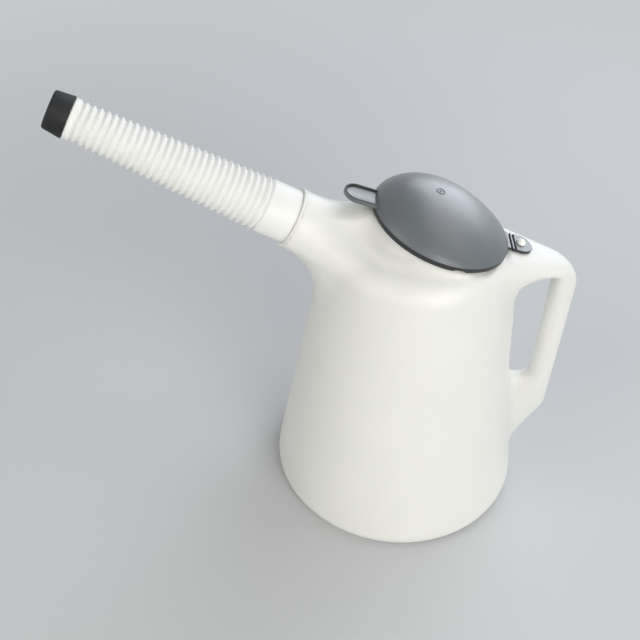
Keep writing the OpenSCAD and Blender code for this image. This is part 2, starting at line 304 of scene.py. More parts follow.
CORNERS = np.array(list(itertools.product((0, 1), repeat=3)))
CELL_EDGES = np.array([(i, j) for i, j in itertools.combinations(range(8), 2)
                       if np.abs(CORNERS[i] - CORNERS[j]).sum() == 1])


def surface_net(values: Array, low: Array, step: float) -> tuple[Array, Array]:
    """Quads through the zero level of a field on a regular grid.

    Each cell that the level crosses gets one point, the mean of the crossings on its edges. Each
    grid edge that it crosses gets one quad through the four cells round that edge.

    Args:
        values: field at the grid's nodes.
        low: lowest corner of the grid, in mm.
        step: width of a cell, in mm.

    Returns:
        Points and quads that face the positive side.
    """
    inside = values < 0.0
    size = np.array(values.shape) - 1
    count = sum(inside[i:i + size[0], j:j + size[1], k:k + size[2]].astype(np.int8)
                for i, j, k in CORNERS)
    active = (count > 0) & (count < 8)
    cells = np.argwhere(active)
    corner = values[tuple(np.moveaxis(cells[:, None, :] + CORNERS, -1, 0))]
    a, b = corner[:, CELL_EDGES[:, 0]], corner[:, CELL_EDGES[:, 1]]
    crossed = (a < 0.0) != (b < 0.0)
    t = np.where(crossed, a / np.where(crossed, a - b, 1.0), 0.0)[..., None]
    start, end = CORNERS[CELL_EDGES[:, 0]], CORNERS[CELL_EDGES[:, 1]]
    place = ((start + t * (end - start)) * crossed[..., None]).sum(axis=1) / crossed.sum(axis=1)[:, None]
    index = np.full(active.shape, -1)
    index[active] = np.arange(len(cells))
    quads = []
    for axis in range(3):
        near, cell = np.moveaxis(inside, axis, 0), np.moveaxis(index, axis, 0)
        first, second = near[:-1, 1:-1, 1:-1], near[1:, 1:-1, 1:-1]
        i, j, k = np.nonzero(first != second)
        quad = np.column_stack([cell[i, j, k], cell[i, j + 1, k], cell[i, j + 1, k + 1], cell[i, j, k + 1]])
        turned = first[i, j, k] == (axis == 1)
        quads.append(np.where(turned[:, None], quad[:, ::-1], quad))
    return low + step * (cells + place), np.vstack(quads)


def even_out(points: Array, quads: Array, field: Any, rounds: int) -> Array:
    """Even the spacing of a net and lay it on the zero level of a field.

    Each round moves a point half the way to the mean of its neighbours, then along the field's
    direction by the distance that the field gives.

    Args:
        points: points near the zero level, in mm.
        quads: four indices for each face.
        field: function from points to distances and directions.
        rounds: number of rounds.

    Returns:
        The moved points.
    """
    a = quads.ravel()
    b = np.roll(quads, -1, axis=1).ravel()
    count = np.bincount(a, minlength=len(points)) + np.bincount(b, minlength=len(points))
    for _ in range(rounds):
        total = np.column_stack([
            np.bincount(a, points[b, i], len(points)) + np.bincount(b, points[a, i], len(points))
            for i in range(3)])
        points = points + 0.5 * (total / count[:, None] - points)
        for _ in range(2):
            distance, direction = field(points)
            points = points - distance[:, None] * direction
    return points


# Making pieces


def make_piece(name: str, surface: Surface, body: Body, material: bpy.types.Material,
               crease: float | None = None, mend: bool = False) -> bpy.types.Object:
    """Put a surface into a mesh, smooth it and let it ride on a body.

    Args:
        name: name of the piece.
        surface: points in mm and faces.
        body: the body that it moves with.
        material: its material.
        crease: edges that turn by more than this many degrees are shaded as sharp.
        mend: whether doubled points are merged and faces turned outwards.

    Returns:
        The new object, at the origin.
    """
    points, faces = surface
    mesh = bpy.data.meshes.new(name)
    mesh.from_pydata((points * MM).tolist(), [], faces)
    mesh.polygons.foreach_set("use_smooth", np.ones(len(faces), dtype=bool))
    mesh.materials.append(material)
    mesh.update()
    if mend:
        outward(mesh)
    if crease is not None:
        mesh.set_sharp_from_angle(angle=np.radians(crease))
    piece = bpy.data.objects.new(name, mesh)
    bpy.context.scene.collection.objects.link(piece)
    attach(piece, body.value)
    log.info("%s: %d faces on %s", name, len(faces), body.value)
    return piece


def trim_finish(piece: bpy.types.Object, seat: Seat, finish: bpy.types.Material,
                low: float = -np.inf, high: float = np.inf) -> None:
    """Give the faces whose middle lies between two heights on a seat another finish, used here for painted
    shade.

    Args:
        piece: the piece.
        seat: the frame that the heights are measured in.
        finish: the other finish.
        low: least height, in mm.
        high: greatest height, in mm.
    """
    faces = piece.data.polygons
    middles = np.empty(3 * len(faces))
    faces.foreach_get("center", middles)
    height = seat.into(middles.reshape(-1, 3) / MM)[:, 2]
    piece.data.materials.append(finish)
    faces.foreach_set("material_index", ((height > low) & (height < high)).astype(np.int32))


def outward(mesh: bpy.types.Mesh) -> None:
    """Merge doubled points and turn all faces outwards.

    Args:
        mesh: a closed mesh.
    """
    bm = bmesh.new()
    bm.from_mesh(mesh)
    bmesh.ops.remove_doubles(bm, verts=bm.verts[:], dist=AXIS_R * MM)
    bmesh.ops.recalc_face_normals(bm, faces=bm.faces[:])
    bm.to_mesh(mesh)
    bm.free()


# Finishes


def linear(hex_colour: str) -> tuple[float, float, float, float]:
    """Turn an sRGB hex value into a linear colour.

    Args:
        hex_colour: the value, such as "#C0C0C0".

    Returns:
        Red, green, blue and an alpha of one.
    """
    c = np.array([int(hex_colour[i:i + 2], 16) for i in (1, 3, 5)]) / 255.0
    r, g, b = np.where(c <= 0.04045, c / 12.92, ((c + 0.055) / 1.055) ** 2.4)
    return float(r), float(g), float(b), 1.0


def clear_tree(owner: bpy.types.Material | bpy.types.World) -> bpy.types.NodeTree:
    """Switch on the nodes of a material or world and clear them.

    Args:
        owner: the material or world.

    Returns:
        Its empty node tree.
    """
    owner.use_nodes = True
    owner.node_tree.nodes.clear()
    return owner.node_tree


def add_node(tree: bpy.types.NodeTree, kind: str, inputs: dict[Any, Any], **settings: Any) -> bpy.types.Node:
    """Add a node.

    Args:
        tree: the node tree.
        kind: type of the node.
        inputs: value or linked socket for each named or numbered input.
        settings: the node's own properties.

    Returns:
        The new node.
    """
    node = tree.nodes.new(kind)
    for key, value in settings.items():
        setattr(node, key, value)
    for key, value in inputs.items():
        if isinstance(value, bpy.types.NodeSocket):
            tree.links.new(value, node.inputs[key])
        else:
            node.inputs[key].default_value = value
    return node


@dataclass(frozen=True)
class MouldedPlastic:
    """A moulded plastic: soft mottle in its colour, a satin sheen and a fine grain.

    Attributes:
        name: what it is.
        pale: lighter sRGB colour of the mottle.
        deep: darker sRGB colour of the mottle.
        mottle_mm: size of a patch of the mottle.
        gloss: least and greatest roughness.
        grain_mm: size of the surface's grain.
        grain_depth_mm: depth of the grain.
        glow: share of light that goes under the surface.
        glow_mm: how far it spreads there.
        seam_mm: half width of the parting line in the plane y = 0, or 0.
        ior: index of refraction.
        film: share of the surface that a trace of oil covers.
    """

    name: str
    pale: str
    deep: str
    mottle_mm: float
    gloss: tuple[float, float]
    grain_mm: float
    grain_depth_mm: float
    glow: float = 0.0
    glow_mm: float = 1.0
    seam_mm: float = 0.0
    ior: float = 1.5
    film: float = 0.0

    def material(self) -> bpy.types.Material:
        """Build the node material.

        Returns:
            A material on Object coordinates, with one Principled shader.
        """
        material = bpy.data.materials.new(self.name)
        tree = clear_tree(material)
        place = add_node(tree, "ShaderNodeTexCoord", {}).outputs["Object"]
        mottle = add_node(tree, "ShaderNodeTexNoise", {
            "Vector": place, "Scale": 1.0 / (self.mottle_mm * MM), "Detail": 3.0, "Roughness": 0.55})
        colour = add_node(tree, "ShaderNodeMix", {
            "Factor": mottle.outputs["Fac"], "A": linear(self.deep), "B": linear(self.pale)},
            data_type="RGBA")
        patch = add_node(tree, "ShaderNodeTexNoise", {
            "Vector": place, "Scale": 0.4 / (self.mottle_mm * MM), "Detail": 5.0, "Roughness": 0.7})
        rough = add_node(tree, "ShaderNodeMapRange", {
            "Value": patch.outputs["Fac"], "From Min": 0.3, "From Max": 0.7,
            "To Min": self.gloss[0], "To Max": self.gloss[1]})
        grain = add_node(tree, "ShaderNodeTexNoise", {
            "Vector": place, "Scale": 1.0 / (self.grain_mm * MM), "Detail": 2.0, "Roughness": 0.6})
        height = grain.outputs["Fac"]
        if self.seam_mm > 0.0:
            height = self.seam(tree, place, height)
        bump = add_node(tree, "ShaderNodeBump", {
            "Strength": 1.0, "Distance": self.grain_depth_mm * MM, "Height": height})
        shader = add_node(tree, "ShaderNodeBsdfPrincipled", {
            "Base Color": colour.outputs["Result"], "Roughness": rough.outputs["Result"], "IOR": self.ior,
            "Subsurface Weight": self.glow, "Subsurface Radius": (1.0, 0.96, 0.88),
            "Subsurface Scale": self.glow_mm * MM, "Coat Weight": self.film, "Coat Roughness": self.gloss[1],
            "Normal": bump.outputs["Normal"]})
        add_node(tree, "ShaderNodeOutputMaterial", {"Surface": shader.outputs["BSDF"]})
        return material

    def seam(self, tree: bpy.types.NodeTree, place: bpy.types.NodeSocket,
             height: bpy.types.NodeSocket) -> bpy.types.NodeSocket:
        """Add the mould's parting line, a low ridge where |y| is small.

        Args:
            tree: the node tree.
            place: Object coordinates.
            height: height of the grain.

        Returns:
            Height of grain and ridge together.
        """
        across = add_node(tree, "ShaderNodeSeparateXYZ", {"Vector": place}).outputs["Y"]
        away = add_node(tree, "ShaderNodeMath", {0: across}, operation="ABSOLUTE").outputs["Value"]
        ridge = add_node(tree, "ShaderNodeMapRange", {
            "Value": away, "From Min": 0.0, "From Max": 2.0 * self.seam_mm * MM,
            "To Min": 1.5, "To Max": 0.0},
            interpolation_type="SMOOTHSTEP")
        return add_node(tree, "ShaderNodeMath", {0: height, 1: ridge.outputs["Result"]}).outputs["Value"]


# Natural polyethylene, blow moulded: milky, light spreads in the wall, satin, faint orange peel
MILKY_POLYETHYLENE = MouldedPlastic(
    "natural_polyethylene_blown", "#EDECE6", "#E4E4DE", 60.0, (0.36, 0.46), 2.4, 0.03,
    glow=0.45, glow_mm=7.0, seam_mm=0.25, ior=1.54)
# White polyethylene, blown and corrugated: a shade cooler than the jug, less light in its thinner wall
WHITE_POLYETHYLENE = MouldedPlastic(
    "white_polyethylene_corrugated", "#ECECE9", "#E5E5E1", 25.0, (0.38, 0.48), 1.2, 0.015,
    glow=0.35, glow_mm=3.0, ior=1.51)
# Charcoal polypropylene, injection moulded on an eroded tool: a broad grey sheen under a trace of oil
CHARCOAL_POLYPROPYLENE = MouldedPlastic(
    "charcoal_polypropylene_moulded", "#5A6064", "#51565A", 18.0, (0.34, 0.42), 0.9, 0.025,
    ior=1.52, film=0.9)
# The same polypropylene with painted shade: blacker on the skirt, raised edge, strap sides and grooves where
# shade falls, with hardly a texture to scatter light
CHARCOAL_PAINTED_SHADE = MouldedPlastic(
    "charcoal_painted_shade", "#2A2C2E", "#242628", 18.0, (0.42, 0.5), 1.2, 0.006, ior=1.49)
# Black soft polyethylene, injection moulded: deeper and more even than the lid
BLACK_POLYETHYLENE = MouldedPlastic(
    "black_polyethylene_moulded", "#131415", "#0E0F10", 12.0, (0.55, 0.66), 0.8, 0.012, ior=1.45)
# White nylon, moulded rivet: smooth with a soft gloss
WHITE_NYLON = MouldedPlastic(
    "white_nylon_moulded", "#F2F2EE", "#E9E9E4", 4.0, (0.24, 0.32), 0.6, 0.005,
    glow=0.2, glow_mm=1.0, ior=1.53)


# Sub-assemblies


@dataclass(frozen=True)
class Layout:
    """Driving sizes that several pieces share, in mm and degrees: the solids' own, apart from the strap's."""

    base_d: float = 205.0
    base_corner_r: float = 9.0
    wall_slope: float = 8.9
    shoulder_z: float = 228.0
    shoulder_r: float = 22.0
    body_wall: float = 1.8
    mouth_d: float = 92.0
    mouth_tilt: float = 17.3
    mouth_rise: float = 28.0
    mouth_bead: float = 1.6
    lid_setback: float = 2.9
    lid_wall: float = 1.8
    lid_play: float = 2.6
    skirt_h: float = 4.3
    neck_reach: float = 23.8
    neck_rise: float = 26.9
    neck_angle: float = 27.0
    cuff_d: float = 39.4
    cuff_play: float = 0.2
    strap_w: float = 19.2
    strap_t: float = 2.4
    strap_drop: float = 0.3
    strap_skin: float = 0.3
    strap_stub: float = 2.2
    groove_w: float = 1.3
    rivet_x: float = 8.2
    strap_tail: float = 9.3
    seat_gap: float = 0.1
    rim_drop: float = 1.0
    lid_gap: float = 0.8

    def wall_r(self, z: Any) -> Any:
        """Radius of the conical wall at height z."""
        s = np.radians(self.wall_slope)
        return (self.base_d / 2.0 - self.base_corner_r * (1.0 - np.cos(s))
                - np.tan(s) * (z - self.base_corner_r * (1.0 + np.sin(s))))

    @property
    def lid_r(self) -> float:
        """Outside radius of the lid."""
        return self.mouth_d / 2.0 + self.mouth_bead + self.lid_play + self.lid_wall

    @property
    def mouth(self) -> Seat:
        """Middle of the mouth's rim, tilted down towards the handle."""
        x = self.wall_r(self.shoulder_z) - self.lid_setback - self.lid_r * np.cos(np.radians(self.mouth_tilt))
        return Seat(x, self.shoulder_z + self.mouth_rise, self.mouth_tilt)

    @property
    def neck(self) -> Seat:
        """Middle of the neck's lip, with the spout's axis as its Z."""
        x = -(self.wall_r(self.shoulder_z) + self.neck_reach)
        return Seat(x, self.shoulder_z + self.neck_rise, self.neck_angle - 90.0)

    @property
    def neck_r(self) -> float:
        """Outside radius of the neck."""
        return self.cuff_d / 2.0 + self.cuff_play + self.body_wall

    @property
    def fold_x(self) -> float:
        """Distance of the strap's fold from the middle of the mouth."""
        return self.lid_r + self.strap_stub

    @property
    def pad_z(self) -> float:
        """Height of the pad under the strap, from the mouth's rim."""
        return -self.strap_drop - self.strap_t - self.seat_gap

    def strap_bar(self, start: float, end: float, inset: float = 0.0) -> Array:
        """Rectangle across the strap, anticlockwise.

        Args:
            start: where it begins on the mouth's seat.
            end: where it ends.
            inset: distance of its ends inside the strap's sides.

        Returns:
            Rows (x, y).
        """
        half = self.strap_w / 2.0 - inset
        return np.array([[start, half], [start, -half], [end, -half], [end, half]])

    def strap_outline(self, start: float, inset: float = 0.0) -> Array:
        """Outline of the strap from a straight end to its round end, anticlockwise.

        Args:
            start: distance of the straight end from the middle of the mouth.
            inset: distance that the outline is moved in, apart from the straight end.

        Returns:
            Rows (x, y) on the mouth's seat.
        """
        half = self.strap_w / 2.0 - inset
        middle = self.fold_x + self.rivet_x + self.strap_tail - self.strap_w / 2.0
        return np.vstack([[start, half], [start, -half], arc((middle, 0.0), half, -90.0, 90.0, 20)])


@dataclass(frozen=True)
class JugShell:
    """The blown jug: cone, shoulder, tilted collar, neck and hollow handle in one smooth wall.

    Sizes are in mm and degrees, net_over counts steps of the net, and cut_m is in metres.
    """

    layout: Layout
    base_recess: float = 3.0
    recess_run: float = 9.0
    base_ring_w: float = 14.0
    neck_fillet: float = 50.0
    neck_depth: float = 55.0
    collar_x: tuple[float, ...] = (-45.0, -10.0, 25.0, 48.0)
    collar_fillet: tuple[float, ...] = (40.0, 18.0, 18.0, 3.0)
    collar_depth: float = 40.0
    collar_root_r: float = 1.5
    lid_step_r: float = 4.0
    shoulder_drop: float = 8.0
    shoulder_edge_r: float = 8.0
    grip_r: float = 9.3
    finger_gap: float = 16.7
    opening_z: float = 104.0
    arm_t: float = 13.5
    arm_w: float = 58.0
    arm_flare: float = 1.2
    top_power: float = 3.2
    arm_curve: tuple[float, float] = (22.0, 60.0)
    arm_curve_way: float = 150.0
    grip_corner: float = 26.0
    grip_foot_z: float = 72.0
    foot_lean: float = 27.0
    foot_bend: float = 24.0
    foot_curve: float = 80.0
    opening_radii: tuple[float, ...] = (3.0, 18.0, 65.0, 3.0, 8.0)
    inner_x: float = 30.0
    least_half: float = 1.0
    least_slope: float = 1e-3
    root_sink: float = 1.5
    web_lean: float = 2.6
    web_fade: float = 60.0
    weld_z: tuple[float, ...] = (12.0, 38.0, 72.0, 100.0, 112.0, 160.0, 205.0, 228.0)
    weld_w: tuple[float, ...] = (0.0, 13.0, 15.0, 3.0, 3.0, 11.0, 13.0, 5.0)
    neck_lip: float = 0.8
    lip_foot: float = 2.08
    lip_edge_r: float = 0.5
    lip_sides: int = 96
    bead_foot: float = 3.84
    bead_edge_r: float = 0.6
    bead_sides: int = 144
    rim_over: float = 0.02
    pad_inset: float = 1.5
    pad_start: float = 1.0
    pad_depth: float = 4.0
    pad_bevel: float = 0.4
    net_low: tuple[float, ...] = (-104.0, -106.0, -3.0)
    net_high: tuple[float, ...] = (127.0, 106.0, 284.0)
    net_step: float = 2.5
    net_over: float = 3.0
    net_rounds: int = 3
    cut_m: float = 1e-7

    def turned(self, p: Array) -> Field:
        """Push-up base, rounded corner, conical wall and rounded shoulder, turned about Z.

        Args:
            p: points, in mm.

        Returns:
            The greatest of the distances to the wall's, top's and base's lines, or the distance to
            a corner's arc where the point lies in front of it.
        """
        lay = self.layout
        slope = np.radians(lay.wall_slope)
        rho = np.hypot(p[:, 0], p[:, 1])
        ring_r = lay.base_d / 2.0 - lay.base_corner_r
        shoulder_y = lay.shoulder_z - lay.shoulder_r * np.sin(slope)
        wall_offset = lay.wall_r(0.0) * np.cos(slope)
        profile = np.column_stack([rho, p[:, 2]])
        sides = [(-90.0, 0.0), (lay.wall_slope, wall_offset), (90.0, shoulder_y + lay.shoulder_r)]
        distance, flat = rounded_outline(profile, sides, [lay.base_corner_r, lay.shoulder_r, 0.0])
        foot = ring_r - self.base_ring_w
        t = np.clip((foot - rho) / self.recess_run, 0.0, 1.0)
        push = self.base_recess * t * t * (3.0 - 2.0 * t) - p[:, 2]
        distance = np.where(push > distance, push, distance)
        flat = np.where((push >= distance)[:, None], [0.0, -1.0], flat)
        round_way = p[:, :2] / np.maximum(rho, TINY)[:, None]
        return distance, np.column_stack([round_way * flat[:, :1], flat[:, 1]])

    def tube(self, seat: Seat, p: Array, radius: float, depth: float) -> Field:
        """Round bar along a seat's axis with a ball at its lower end.

        Args:
            seat: the frame whose axis it follows.
            p: points, in mm.
            radius: its radius.
            depth: depth of the ball's middle.

        Returns:
            Length from the axis, or from the ball's middle below it, less the radius.
        """
        q = seat.into(p)
        q[:, 2] = np.minimum(q[:, 2] + depth, 0.0)
        length = np.linalg.norm(q, axis=1)
        return length - radius, (q / np.maximum(length, TINY)[:, None]) @ seat.matrix().T

    def disc(self, seat: Seat, p: Array, radius: float, depth: float) -> Field:
        """Cylinder on a seat's axis, endless upwards.

        Args:
            seat: the frame whose axis it follows.
            p: points, in mm.
            radius: its radius.
            depth: depth of its flat end.

        Returns:
            The greater of the distances to its side and to its end.
        """
        q = seat.into(p)
        rho = np.hypot(q[:, 0], q[:, 1])
        side, floor = rho - radius, -q[:, 2] - depth
        out = np.column_stack([q[:, :2] / np.maximum(rho, TINY)[:, None], np.zeros(len(q))])
        way = np.where((side > floor)[:, None], out, [0.0, 0.0, -1.0])
        return np.maximum(side, floor), way @ seat.matrix().T

    def handle(self, p: Array) -> Field:
        """Loop handle: oval sections between its outer outline and its opening in the plane y = 0.

        Args:
            p: points, in mm.

        Returns:
            F = (|w / h|^n + |y / a|^n)^(1 / n) - 1 over the length of its slope. Here h is half the sum
            of the distances to the two outlines and w half their difference, half the width a falls
            from the arm's root to the grip and to the web's foot, and n is 2 but rises, for a flatter
            top, on the outer side towards the arm's root.
        """
        lay = self.layout
        r, way, flat = self.grip_r, 90.0 - lay.mouth_tilt, p[:, [0, 2]]
        grip_x = lay.wall_r(self.opening_z) + self.finger_gap + r
        tilt, lean = np.radians(lay.mouth_tilt), np.radians(self.foot_lean)
        arm = np.array([np.sin(tilt), np.cos(tilt)]) @ [lay.mouth.x, lay.mouth.z] + lay.pad_z - lay.seat_gap
        foot = np.array([np.cos(lean), -np.sin(lean)]) @ [grip_x, self.grip_foot_z] + r
        outer, out_way = rounded_outline(
            flat, [(-90.0, -lay.base_corner_r - r / 2.0), (-self.foot_lean, foot), (0.0, grip_x + r),
                   (way, arm), (180.0, -self.inner_x)],
            [0.0, self.foot_bend, self.grip_corner, 0.0, 0.0])
        web = np.radians(lay.wall_slope - self.web_lean)
        foot_x = lay.wall_r(self.opening_z) - self.root_sink
        root = np.array([np.cos(web), np.sin(web)]) @ [foot_x, self.opening_z]
        gap, gap_way = rounded_outline(
            flat, [(0.0, grip_x - r), (way, arm - self.arm_t), self.curve_side(arm - self.arm_t),
                   (180.0 + np.degrees(web), -root), (270.0, -self.opening_z)],
            list(self.opening_radii))
        h, w = np.maximum((gap - outer) / 2.0, self.least_half), (-outer - gap) / 2.0
        depth = arm - flat @ [np.sin(tilt), np.cos(tilt)]
        on_arm = p[:, 0] + np.sin(tilt) * np.clip(depth, 0.0, self.arm_t)
        share = np.clip((grip_x + r - on_arm) / (grip_x + r - lay.wall_r(lay.shoulder_z)), 0.0, 1.0)
        fade = np.clip((depth - self.arm_t) / self.web_fade, 0.0, 1.0)
        share = share ** self.arm_flare * (1.0 - fade * fade * (3.0 - 2.0 * fade))
        a = r + (self.arm_w / 2.0 - r) * share
        u, v = w / h, p[:, 1] / a
        n = np.where(u < 0.0, 2.0 + (self.top_power - 2.0) * share, 2.0)
        length = np.maximum((np.abs(u) ** n + np.abs(v) ** n) ** (1.0 / n), TINY)
        du = np.sign(u) * (np.abs(u) / length) ** (n - 1.0)
        dv = np.sign(v) * (np.abs(v) / length) ** (n - 1.0)
        rise = (du / h)[:, None] * ((-out_way - gap_way) - u[:, None] * (gap_way - out_way)) / 2.0
        rise = np.column_stack([rise[:, 0], dv / a, rise[:, 1]])
        steep = np.maximum(np.linalg.norm(rise, axis=1), self.least_slope)
        return (length - 1.0) / steep, rise / steep[:, None]

    def curve_side(self, under: float) -> tuple[float, float]:
        """Side of the opening between the arm and the wall, tangent to an oval curve there.

        Args:
            under: distance of the arm's underside from the origin along its normal.

        Returns:
            Angle of the side's normal and its distance from the origin.
        """
        lay = self.layout
        wide, high = self.arm_curve
        slope = np.radians(lay.wall_slope)

        def reach(angle: float) -> float:
            """Distance from the oval's middle to its tangent at that angle from the wall's normal."""
            return float(np.hypot(wide * np.cos(angle), high * np.sin(angle)))

        arm_way = np.radians(90.0 - lay.mouth_tilt)
        normals = np.array([[np.cos(slope), np.sin(slope)], [np.cos(arm_way), np.sin(arm_way)]])
        wall = lay.wall_r(0.0) * np.cos(slope) - self.root_sink
        middle = np.linalg.solve(normals, [wall + wide, under - reach(arm_way - slope)])
        side = np.radians(self.arm_curve_way)
        normal = np.array([np.cos(side + slope), np.sin(side + slope)])
        return float(np.degrees(side + slope)), float(normal @ middle) + reach(side)

    def form(self, p: Array) -> Field:
        """The whole outside: all forms joined with fillets, kept clear of the lid.

        Args:
            p: points, in mm.

        Returns:
            Distance and direction.
        """
        lay = self.layout
        mouth = lay.mouth
        up = mouth.matrix()[:, 2]
        rim_way = np.broadcast_to(up, p.shape)
        below = mouth.into(p)[:, 2] + self.shoulder_drop
        whole = fillet_cut(self.turned(p), (-below, -rim_way), self.shoulder_edge_r)
        whole = fillet_union(whole, self.tube(lay.neck, p, lay.neck_r, self.neck_depth), self.neck_fillet)
        weld = np.interp(p[:, 2], self.weld_z, self.weld_w)
        whole = fillet_union(whole, self.handle(p), self.foot_curve, weld)
        collar = self.tube(mouth, p, lay.mouth_d / 2.0, self.collar_depth)
        whole = fillet_union(whole, collar, np.interp(p[:, 0], self.collar_x, self.collar_fillet))
        clear = self.disc(mouth, p, lay.lid_r + lay.lid_gap, lay.skirt_h + lay.lid_gap)
        return fillet_union(fillet_cut(whole, clear, self.lid_step_r), collar, self.collar_root_r)

    def net(self) -> tuple[Array, Array]:
        """Net of the outside, before the mouth and the neck are opened.

        Returns:
            Points in mm and quads.
        """
        low, high = np.array(self.net_low), np.array(self.net_high)
        counts = np.ceil((high - low) / self.net_step).astype(int) + 1
        axes = [low[i] + self.net_step * np.arange(counts[i]) for i in range(3)]
        nodes = np.stack(np.meshgrid(*axes, indexing="ij"), axis=-1).reshape(-1, 3)
        values = self.form(nodes)[0].reshape(counts)
        neck, mouth = self.layout.neck.into(nodes)[:, 2], self.layout.mouth.into(nodes)[:, 2]
        end = np.maximum(neck, mouth).reshape(counts) - self.net_over * self.net_step
        points, quads = surface_net(np.maximum(values, end), low, self.net_step)
        return even_out(points, quads, self.form, self.net_rounds), quads

    def open_at(self, piece: bpy.types.Object, seat: Seat, height: float) -> None:
        """Cut the shell open square to a seat's axis.

        Args:
            piece: the shell.
            seat: the frame whose axis it is.
            height: height of the cut on the seat, in mm.
        """
        bm = bmesh.new()
        bm.from_mesh(piece.data)
        place = seat.out(np.array([[0.0, 0.0, height]]))[0] * MM
        bmesh.ops.bisect_plane(
            bm, geom=bm.verts[:] + bm.edges[:] + bm.faces[:], dist=self.cut_m, plane_co=place.tolist(),
            plane_no=seat.matrix()[:, 2].tolist(), clear_outer=True)
        bm.to_mesh(piece.data)
        bm.free()

    def build(self, finish: bpy.types.Material) -> None:
        """Make the shell with its rims and the pad under the strap.

        Args:
            finish: the jug's finish.
        """
        lay = self.layout
        points, quads = self.net()
        shell = make_piece("jug_shell", (points, quads.tolist()), Body.JUG, finish)
        self.open_at(shell, lay.neck, -self.neck_lip)
        self.open_at(shell, lay.mouth, -lay.rim_drop - lay.mouth_bead)
        shell.data.polygons.foreach_set("use_smooth", np.ones(len(shell.data.polygons), dtype=bool))
        wall = shell.modifiers.new("wall", "SOLIDIFY")
        wall.thickness = lay.body_wall * MM
        wall.offset = -1.0
        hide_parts("jug_body")
        self.rims(finish)

    def rolled_rim(self, radius: float, roll: float, top: float, foot: float, last: float,
                   edge: float) -> Array:
        """Closed profile of a rim: a roll on its outside and a small rounding inside.

        Args:
            radius: outside radius of the wall, on which the roll's middle lies.
            roll: radius of the roll.
            top: height of the rim's top.
            foot: depth of the rim.
            last: angle at which the roll ends, in degrees.
            edge: radius of the rounding inside.

        Returns:
            Rows (radius, height), in mm.
        """
        bore = radius - self.layout.body_wall
        return np.vstack([
            [bore, top - foot], [radius + self.rim_over, top - foot],
            arc((radius, top - roll), roll, -80.0, last, 10),
            arc((bore + edge, top - edge), edge, 90.0, 180.0, 5)])

    def rims(self, finish: bpy.types.Material) -> None:
        """Make the bead round the mouth, the neck's rolled lip and the pad under the strap.

        Args:
            finish: the jug's finish.
        """
        lay = self.layout
        bead = self.rolled_rim(
            lay.mouth_d / 2.0, lay.mouth_bead, -lay.rim_drop, self.bead_foot, 80.0, self.bead_edge_r)
        ring = revolve(lay.mouth, bead, self.bead_sides)
        make_piece("mouth_bead", ring, Body.JUG, finish, RIM_CREASE)
        lip = self.rolled_rim(lay.neck_r, self.neck_lip, 0.0, self.lip_foot, 90.0, self.lip_edge_r)
        ring = revolve(lay.neck, lip, self.lip_sides)
        make_piece("neck_lip", ring, Body.JUG, finish, RIM_CREASE)
        outline = lay.strap_outline(lay.lid_r + lay.lid_gap + self.pad_start, self.pad_inset)
        pad = slab(lay.mouth, outline, lay.pad_z - self.pad_depth, lay.pad_z, self.pad_bevel)
        make_piece("rivet_pad", pad, Body.JUG, finish, RIM_CREASE)


